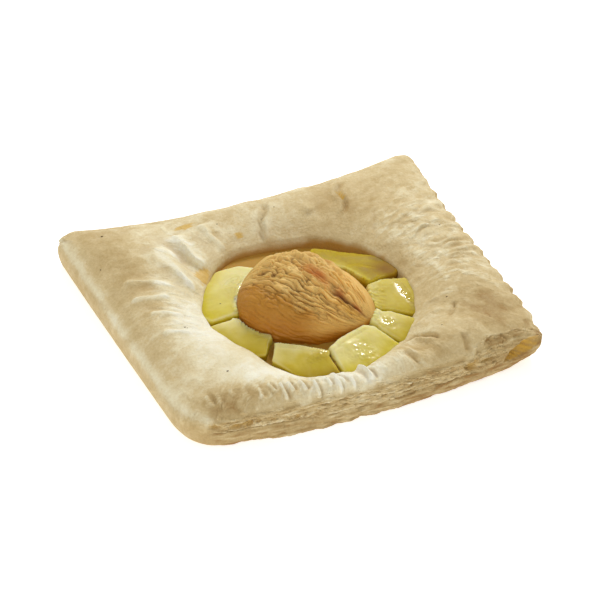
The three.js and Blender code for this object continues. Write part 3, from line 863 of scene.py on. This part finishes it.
def makeNut():
    s = -np.cos(np.pi * np.arange(1, nut["along"]) / nut["along"])[:, None]
    angle = (2 * np.pi * np.arange(nut["around"]) / nut["around"])[None, :]
    angle = angle + 0.45 * np.cos(angle)  # closer together over the top, which is the part that shows
    plump = np.sqrt(1 - s * s) * (1 - nut["taper"] * s)
    along = nut["halfLong"] * s + 0 * angle
    upward = nut["halfHigh"] * plump * np.sin(angle)
    place = stack(along, nut["halfWide"] * plump * np.cos(angle), upward)
    crease = nut["crease"]
    wander = 0.09 * noise(place / 3, 72)
    offCrease = angle - crease["angle"] - crease["lean"] * s - crease["hook"] * s ** 4 + wander
    alongCrease = smooth((s - crease["from"]) / crease["fadeIn"]) * (1 - s ** 8)
    toPoint = smooth((s + 0.2) / 0.8)
    width = mix(0.17, 0.09, toPoint)
    inCrease = bell(offCrease / width) * alongCrease
    depth = mix(0.9, 1.5, toPoint) * (0.8 + 0.4 * noise(stack(s * 6, 0.0), 77))
    cheek = bell((offCrease - 0.2) / 0.11) * smooth((s - 0.45) / 0.2) * (1 - s ** 8)
    flow = angle - crease["lean"] * s - crease["hook"] * s ** 4  # the wrinkles run along the crease
    girth, spacing = nut["girth"], nut["wrinkleWidth"]
    ring = stack(along / nut["wrinkleLength"], girth * np.cos(flow) / spacing, girth * np.sin(flow) / spacing)
    warp = stack(noise(place / 5, 70), noise(place / 3.6, 71), noise(place / 3.6, 79)) * [0.3, 0.7, 0.7]
    folds = np.sqrt(np.abs(noise(ring + warp, 73)))  # narrow furrows between broad ridges
    fineFolds = np.sqrt(np.abs(noise(2 * ring + 1.5 * warp, 74)))
    strip = nut["strip"]
    ragged = offCrease + 0.16 * noise(place / 4, 75)
    wrinkledAndLit = smooth((strip["near"] - ragged) / strip["fade"])
    wrinkledAndLit = wrinkledAndLit * smooth((ragged - strip["far"]) / strip["fade"])
    wrinkledAndLit = strip["faint"] + (1 - strip["faint"]) * wrinkledAndLit * smooth(upward / 3)
    ends = 1 - np.abs(s) ** 6
    relief = wrinkledAndLit * ends * (nut["wrinkles"] * (folds - 0.6) + nut["fineWrinkles"] * (fineFolds - 0.5))
    relief += 0.16 * noise(place / 0.9, 76) * wrinkledAndLit + 0.3 * noise(place / [9, 4, 4], 78) * ends
    swell = relief - depth * inCrease + 0.5 * cheek - 0.3
    across = (nut["halfWide"] + swell) * plump * np.cos(angle)
    upward = (nut["halfHigh"] + swell) * plump * np.sin(angle)
    reddened = sum(bell((s - spot["at"]) / spot["size"]) for spot in nut["reddened"])
    # painted shade in the furrows between the wrinkles
    furrowShade = np.maximum(smooth(1 - folds / 0.42), 0.6 * smooth(1 - fineFolds / 0.4))
    fields = {
        "furrowShade": furrowShade * wrinkledAndLit * mix(1, 0.55, smooth((s + 0.05) / 0.5)),
        "reddened": reddened * bell((offCrease + 0.05) / 0.12),
        "cheek": cheek,
        # paler towards the pointed end on the upper side: partly the nut's own colour, partly painted light
        "pale": smooth((s - 0.1) / 0.4) * smooth(upward / 3),
        # painted light right of the crease towards the pointed end, added to the strip of wrinkles
        "wrinkledAndLit": wrinkledAndLit + 0.6 * smooth(s / 0.5) * smooth(-offCrease / 0.3),
        # painted shade in the deep part of the crease
        "crease": inCrease * smooth((s - 0.3) / 0.2),
    }
    tips = [nutPlace(nut["halfLong"] * end, 0.0, 0.0) for end in (-1, 1)]
    return closedSkin("wrinkledNut", tips[0], nutPlace(along, across, upward), tips[1], fields)


def makeNutMaterial():
    settings = {"Specular IOR Level": 0.3, **subsurface(0.08, 0.0015, 0.0008, 0.0003)}
    material, shader, surface = newMaterial("nutSkin", settings)
    grain = addGrain(shader, 1300.0)
    place = shader.place()
    height = shader.add("ShaderNodeSeparateXYZ", {0: place}).outputs["Z"]
    level = shader.math("MULTIPLY_ADD", grain["Patches"], 0.005, height)
    # painted shade: darker towards the bottom, lighter towards the top
    colour = shader.ramp(shader.span(level, 0.0085, 0.022), (
        (0.0, (168, 100, 14)), (0.45, (188, 123, 30)), (1.0, (194, 138, 46)),
    ))
    # painted light: lighter over the wrinkled upper side and right of the crease
    upper = shader.math("MULTIPLY_ADD", grain["Patches"], 0.8, shader.attribute("wrinkledAndLit"))
    colour = shader.blend(shader.span(upper, 0.75, 1.5), colour, srgb(230, 192, 114))
    # paler upper side towards the point: partly own colour, partly painted light
    colour = shader.tint(colour, "pale", 0.66, 240, 192, 104)
    # painted shade in the furrows
    colour = shader.tint(colour, "furrowShade", 0.85, 114, 66, 22)
    colour = shader.tint(colour, "reddened", 0.7, 206, 112, 46)
    colour = shader.tint(colour, "cheek", 0.7, 204, 150, 50)
    # painted shade in the deep part of the crease
    colour = shader.tint(colour, "crease", 0.8, 118, 62, 20)
    shader.feed(colour, surface["Base Color"])
    shader.feed(shader.span(shader.attribute("wrinkledAndLit"), 0.1, 0.9, (0.4, 0.65)), surface["Roughness"])
    addBump(shader, surface, grain["Grain"], 0.5, 0.35)
    return material


nutPiece = makeNut()
finishPiece(nutPiece, makeNutMaterial(), "nut_skin", "nut")


# Fruit pieces start from the frame's solids, remeshed so that their edges are round
def plainMesh(piece):  # the modifiers' result as the piece's own mesh
    bpy.context.view_layer.update()
    graph = bpy.context.evaluated_depsgraph_get()
    piece.data = bpy.data.meshes.new_from_object(piece.evaluated_get(graph))
    piece.modifiers.clear()
    shadeSmooth(piece.data)


def softCopy(node, name, voxel, rounds):
    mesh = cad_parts[node].data.copy()
    mesh.name = name
    work = bmesh.new()
    work.from_mesh(mesh)
    bmesh.ops.remove_doubles(work, verts=work.verts, dist=1e-7)
    work.to_mesh(mesh)
    work.free()
    piece = addObject(name, mesh)
    remesh = piece.modifiers.new("remesh", "REMESH")
    remesh.mode = "VOXEL"
    remesh.voxel_size = voxel * mm
    ease = piece.modifiers.new("ease", "SMOOTH")
    ease.factor = 0.5
    ease.iterations = rounds
    plainMesh(piece)
    return piece


def pointsOf(mesh):
    flat = np.zeros(3 * len(mesh.vertices), np.float32)
    mesh.vertices.foreach_get("co", flat)
    normal = np.zeros_like(flat)
    mesh.vertices.foreach_get("normal", normal)
    return flat.reshape(-1, 3).astype(float) / mm, normal.reshape(-1, 3).astype(float)


def storePoints(mesh, points):
    mesh.vertices.foreach_set("co", (points * mm).astype(np.float32).ravel())
    mesh.update()


fruit = {
    "voxel": 0.34, "rounds": 5, "stretch": 2, "inwardSwell": 0.9, "lumps": 0.16, "fibres": 0.025,
    # painted highlight along the upper rims and painted shade on the sides and the outer ends
    "rim": 0.6, "shade": 0.22,
    "pieces": named(  # colour, direction and amount of painted light, swelling of the sides, inner teeth, painted shadow at the end
        "ripe paleTo paleness swell teeth sunk",
        (0, 40, 0.65, 0.5, 0, 0),
        (0.75, 65, 0.9, -0.25, 0, 0),
        (0.9, 95, 0.85, -0.2, 0, 0),
        (0, 125, 0.5, 0.5, 0, 0),
        (0.5, 110, 0.7, 0.5, 0.3, 0),
        (0.65, 70, 0.5, 0.5, 0.3, 0),
        (1, 150, 0, 0.5, 0, 1),
    ),
    "shadedEnd": {"x": 20.5, "y": -1.8, "rx": 4, "ry": 3.6},  # painted shadow over the end of the back piece, where it meets the wall
    "glints": named(  # wet places that catch the light, in the crust's layout
        "x y rx ry",
        (-16.2, 3.9, 2.6, 4),
        (-14.5, 5, 2, 3),
        (2.5, -28.8, 3.5, 2.2),
        (-7.2, -27.4, 3, 1),
        (13.3, -22, 1.6, 1.6),
        (21.2, -11, 1.1, 4),
    ),
}


def makeFruit(number):
    own = fruit["pieces"][number - 1]
    piece = softCopy(f"fruit_{number}", f"fruitPiece{number}", fruit["voxel"], fruit["rounds"])
    points, normal = pointsOf(piece.data)
    height, upward = points[:, 2], normal[:, 2]
    out = points[:, :2] - wellCentre - shift
    distance = np.hypot(out[:, 0], out[:, 1])
    around = np.arctan2(out[:, 1], out[:, 0]) * 20
    relief = fruit["lumps"] * noise(points / 3.5, 80 + number) + 0.05 * noise(points / 1.2, 89)
    relief += fruit["fibres"] * noise(stack(around / 0.8, distance / 4, height / 4), 90)
    if own["teeth"]:
        inner = smooth((distance.min() + 4 - distance) / 3) * smooth((height - 6.5) / 2)
        chunks = np.abs(noise(stack(around / 1.5, distance / 1.9, height / 2), 91))
        relief += own["teeth"] * inner * (3 * chunks - 0.8)
    inward = smooth((-(normal[:, :2] * out).sum(1) / distance - 0.2) / 0.5)
    relief += fruit["inwardSwell"] * inward + own["swell"] * (1 - np.abs(upward))
    share = (distance - distance.min()) / np.ptp(distance)  # the outer end goes in under the rim
    stretch = fruit["stretch"] * (share / distance)[:, None] * np.column_stack([out, 0 * distance])
    storePoints(piece.data, points + normal * relief[:, None] + stretch)
    # painted light and shade: paler towards one side and along the upper rims, darker on the steep sides and
    # at the outer end
    aim = math.radians(own["paleTo"])
    along = points[:, 0] * math.cos(aim) + points[:, 1] * math.sin(aim)
    lit = (along - along.min()) / np.ptp(along) * smooth((height - 5) / 3.5)
    lit = 0.2 + 0.8 * lit * own["paleness"]
    crown = smooth((height - height.max() + 3) / 1.5)
    rim = bell((upward - 0.6) / 0.22) * crown
    rim = np.maximum(rim, own["ripe"] * smooth((0.3 - share) / 0.25) * crown)
    lit = lit + fruit["rim"] * rim * (1 - lit)
    lit = lit - fruit["shade"] * (smooth((0.35 - upward) / 0.4) + smooth((share - 0.55) / 0.4))
    x, y = points[:, 0] - shift[0], points[:, 1] - shift[1]
    storeField(piece.data, "ripe", np.full(len(points), own["ripe"]))
    storeField(piece.data, "lit", np.clip(lit + 0.08 * noise(points / 2.5, 92), 0, 1))
    # painted shadow at the end of the back piece
    storeField(piece.data, "sunk", own["sunk"] * near(x, y, fruit["shadedEnd"]))
    storeField(piece.data, "glint", sum(near(x, y, spot) for spot in fruit["glints"]))
    return piece


def makeFruitMaterial():
    material, shader, surface = newMaterial("syrupedFruit", subsurface(0.8, 0.0018, 0.0015, 0.0006))
    grain = addGrain(shader, 450.0)
    lit = shader.attribute("lit")
    colour = shader.ramp(lit, (
        (0.0, (176, 152, 20)), (0.2, (206, 188, 54)), (0.52, (225, 212, 132)), (0.88, (234, 227, 174)),
    ))
    ripeColour = shader.ramp(lit, (
        (0.0, (138, 108, 10)), (0.2, (172, 145, 14)), (0.56, (194, 171, 36)), (0.92, (228, 216, 144)),
    ))
    colour = shader.blend(shader.attribute("ripe"), colour, ripeColour)
    # painted shadow at the end of the back piece
    colour = shader.tint(colour, "sunk", 1.0, 132, 92, 10)
    shader.feed(colour, surface["Base Color"])
    glint = shader.attribute("glint")
    shader.feed(shader.span(glint, 0.0, 0.6, (0.5, 0.08)), surface["Roughness"])
    shader.feed(shader.span(glint, 0.0, 0.5, (0.12, 0.5)), surface["Specular IOR Level"])
    waves = shader.noise(shader.place(), 620.0, 1.0)
    waves = shader.math("MULTIPLY", waves, shader.math("MULTIPLY_ADD", glint, 0.9, 0.12))
    addBump(shader, surface, shader.math("MULTIPLY_ADD", grain["Grain"], 0.06, waves), 1.0, 0.6)
    return material


fruitMaterial = makeFruitMaterial()
fruitPieces = []
for number in range(1, 8):
    fruitPieces.append(makeFruit(number))
    finishPiece(fruitPieces[-1], fruitMaterial, "fruit", f"fruit_{number}")

# Syrup: a pool that reaches the wall and climbs a little up whatever stands in it
syrup = {
    "bed": 2.6, "wallRise": 0.5, "climb": 2, "nutReach": 1.3, "fruitReach": 0.35,
    "around": 360, "rings": 78, "bedRings": 8,
}


def treesOf(*pieces):
    graph = bpy.context.evaluated_depsgraph_get()
    return [BVHTree.FromObject(piece, graph) for piece in pieces]


def clearance(points, trees):  # distance from each point to the nearest piece
    return np.array([min(tree.find_nearest(Vector(p * mm))[3] for tree in trees) for p in points]) / mm


def makeSyrup():
    angle = 2 * np.pi * np.arange(syrup["around"]) / syrup["around"]
    order = np.argsort(bearing)
    edgeShare = (syrupLevel - crust["baseThickness"]) / (topHeight(well) - crust["baseThickness"])
    wall = well - np.interp(edgeShare, crust["wallShares"], crust["wallInsets"]) + syrup["wallRise"]
    wall = np.interp(angle, bearing[order], wall[order], period=2 * np.pi)
    count, under = syrup["rings"], syrup["bedRings"]
    shares = np.append(np.linspace(0.3, 1, under), 1 - np.arange(1, count) / count)
    heights = np.append([syrup["bed"]] * (under - 1), [syrupLevel] * count)
    x = wellCentre[0] + np.outer(shares, wall * np.cos(angle))
    y = wellCentre[1] + np.outer(shares, wall * np.sin(angle))
    rings = inFrame(stack(x, y, heights[:, None]))
    nutTrees, fruitTrees = treesOf(nutPiece), treesOf(*fruitPieces)
    for ring in rings[under:]:
        byNut = np.exp(-clearance(ring, nutTrees) / syrup["nutReach"])
        byFruit = np.exp(-clearance(ring, fruitTrees) / syrup["fruitReach"])
        fromWall = wall - np.hypot(*(ring - wellMiddle(0))[:, :2].T)
        ring[:, 2] += syrup["climb"] * np.maximum(byNut, byFruit) * smooth((fromWall - 1) / 2)
    return closedSkin("syrupPool", wellMiddle(syrup["bed"]), rings, wellMiddle(syrupLevel), {})


def makeSyrupMaterial():
    settings = {"Roughness": 0.5, "Specular IOR Level": 0.08, **subsurface(0.3, 0.003, 0.0016, 0.0004)}
    material, shader, surface = newMaterial("amberSyrup", settings)
    grain = addGrain(shader, 300.0)
    colour = shader.blend(grain["Patches"], srgb(170, 122, 40), srgb(192, 152, 70))
    shader.feed(colour, surface["Base Color"])
    return material


finishPiece(makeSyrup(), makeSyrupMaterial(), "syrup", "syrup")

# Loose flakes on the layered side and dark specks, scattered by node trees
flakes = {"Density": 9e5, "Smallest": 0.5 * mm, "Largest": 1.5 * mm, "Thin": 0.22, "Seed": 4}
specks = {"Smallest": 0.35 * mm, "Largest": 0.8 * mm, "Thin": 0.5, "Seed": 9}
speckPlaces = (  # in the crust's layout
    (-35.2, -8.5), (-34.7, -8.9), (-41.3, 36.5), (-31.4, -28.2), (3.2, 28.7), (36.7, -32.1), (23.7, -32),
    (18.7, 9.2), (-46, 24), (-12.5, 29), (41, 8), (30, -21), (-22.4, 0.6),
)


def scatterTree(name, onFaces):
    tree = bpy.data.node_groups.new(name, "GeometryNodeTree")
    addSockets(tree, "INPUT", "Geometry", "Geometry")
    addSockets(tree, "INPUT", "Float", "Density", "Smallest", "Largest", "Thin")
    addSockets(tree, "INPUT", "Int", "Seed")
    addSockets(tree, "INPUT", "Material", "Material")
    addSockets(tree, "OUTPUT", "Geometry", "Geometry")
    build = Shader(tree)
    given = build.add("NodeGroupInput").outputs
    ball = build.add("GeometryNodeMeshUVSphere", {"Segments": 8, "Rings": 5, "Radius": 0.5}).outputs["Mesh"]
    squash = build.add("ShaderNodeCombineXYZ", {"X": 1.0, "Y": 0.55, "Z": given["Thin"]}).outputs[0]
    chip = build.add("GeometryNodeTransform", {"Geometry": ball, "Scale": squash}).outputs["Geometry"]
    points = given["Geometry"]
    turn = (0.0, 0.0, 0.0)
    if onFaces:
        flaky = build.add("GeometryNodeInputNamedAttribute", {"Name": "flaky"}, data_type="FLOAT")
        density = build.math("MULTIPLY", flaky.outputs["Attribute"], given["Density"])
        spread = {"Mesh": points, "Density": density, "Seed": given["Seed"]}
        spread = build.add("GeometryNodeDistributePointsOnFaces", spread).outputs
        points, normal = spread["Points"], spread["Normal"]
        across = build.vector("CROSS_PRODUCT", (0.0, 0.0, 1.0), normal)
        turn = build.add("FunctionNodeAlignRotationToVector", {"Vector": normal}, axis="Z").outputs[0]
        level = build.add("FunctionNodeAlignRotationToVector", {"Rotation": turn, "Vector": across})
        level.axis = "X"
        level.pivot_axis = "Z"
        turn = level.outputs[0]
    sizes = {2: given["Smallest"], 3: given["Largest"], "Seed": given["Seed"]}
    size = build.add("FunctionNodeRandomValue", sizes).outputs[1]
    chips = build.add("GeometryNodeInstanceOnPoints", {
        "Points": points, "Instance": chip, "Rotation": turn, "Scale": size,
    }).outputs["Instances"]
    solid = build.add("GeometryNodeRealizeInstances", {"Geometry": chips}).outputs["Geometry"]
    dressed = build.add("GeometryNodeSetMaterial", {"Geometry": solid, "Material": given["Material"]})
    build.feed(dressed.outputs["Geometry"], build.add("NodeGroupOutput").inputs["Geometry"])
    return tree


def scatter(name, mesh, tree, values, material):
    piece = addObject(name, mesh)
    modifier = piece.modifiers.new("scatter", "NODES")
    modifier.node_group = tree
    for socket in tree.interface.items_tree:
        if socket.in_out == "INPUT" and socket.name in values:
            modifier[socket.identifier] = values[socket.name]
        if socket.name == "Material":
            modifier[socket.identifier] = material
    plainMesh(piece)
    finishPiece(piece, material, "crust")


def speckMesh():  # one point on the surface under each place
    trees = treesOf(crustPiece, *fruitPieces)
    points = []
    for place in speckPlaces:
        start = Vector((*(np.array(place) + shift) * mm, 0.03))
        hits = [tree.ray_cast(start, Vector((0, 0, -1)))[0] for tree in trees]
        points.append(max((hit for hit in hits if hit), key=lambda hit: hit.z))
    mesh = bpy.data.meshes.new("speckPoints")
    mesh.from_pydata(points, [], [])
    return mesh


def makeSpeckMaterial():
    material, shader, surface = newMaterial("darkSpeck", {"Roughness": 0.8})
    grain = addGrain(shader, 2000.0)
    colour = shader.blend(grain["Patches"], srgb(70, 48, 24), srgb(110, 84, 44))
    shader.feed(colour, surface["Base Color"])
    return material


scatter("sideFlakes", crustPiece.data.copy(), scatterTree("flakesOnFaces", True), flakes, crustMaterial)
scatter("darkSpecks", speckMesh(), scatterTree("specksOnPoints", False), specks, makeSpeckMaterial())
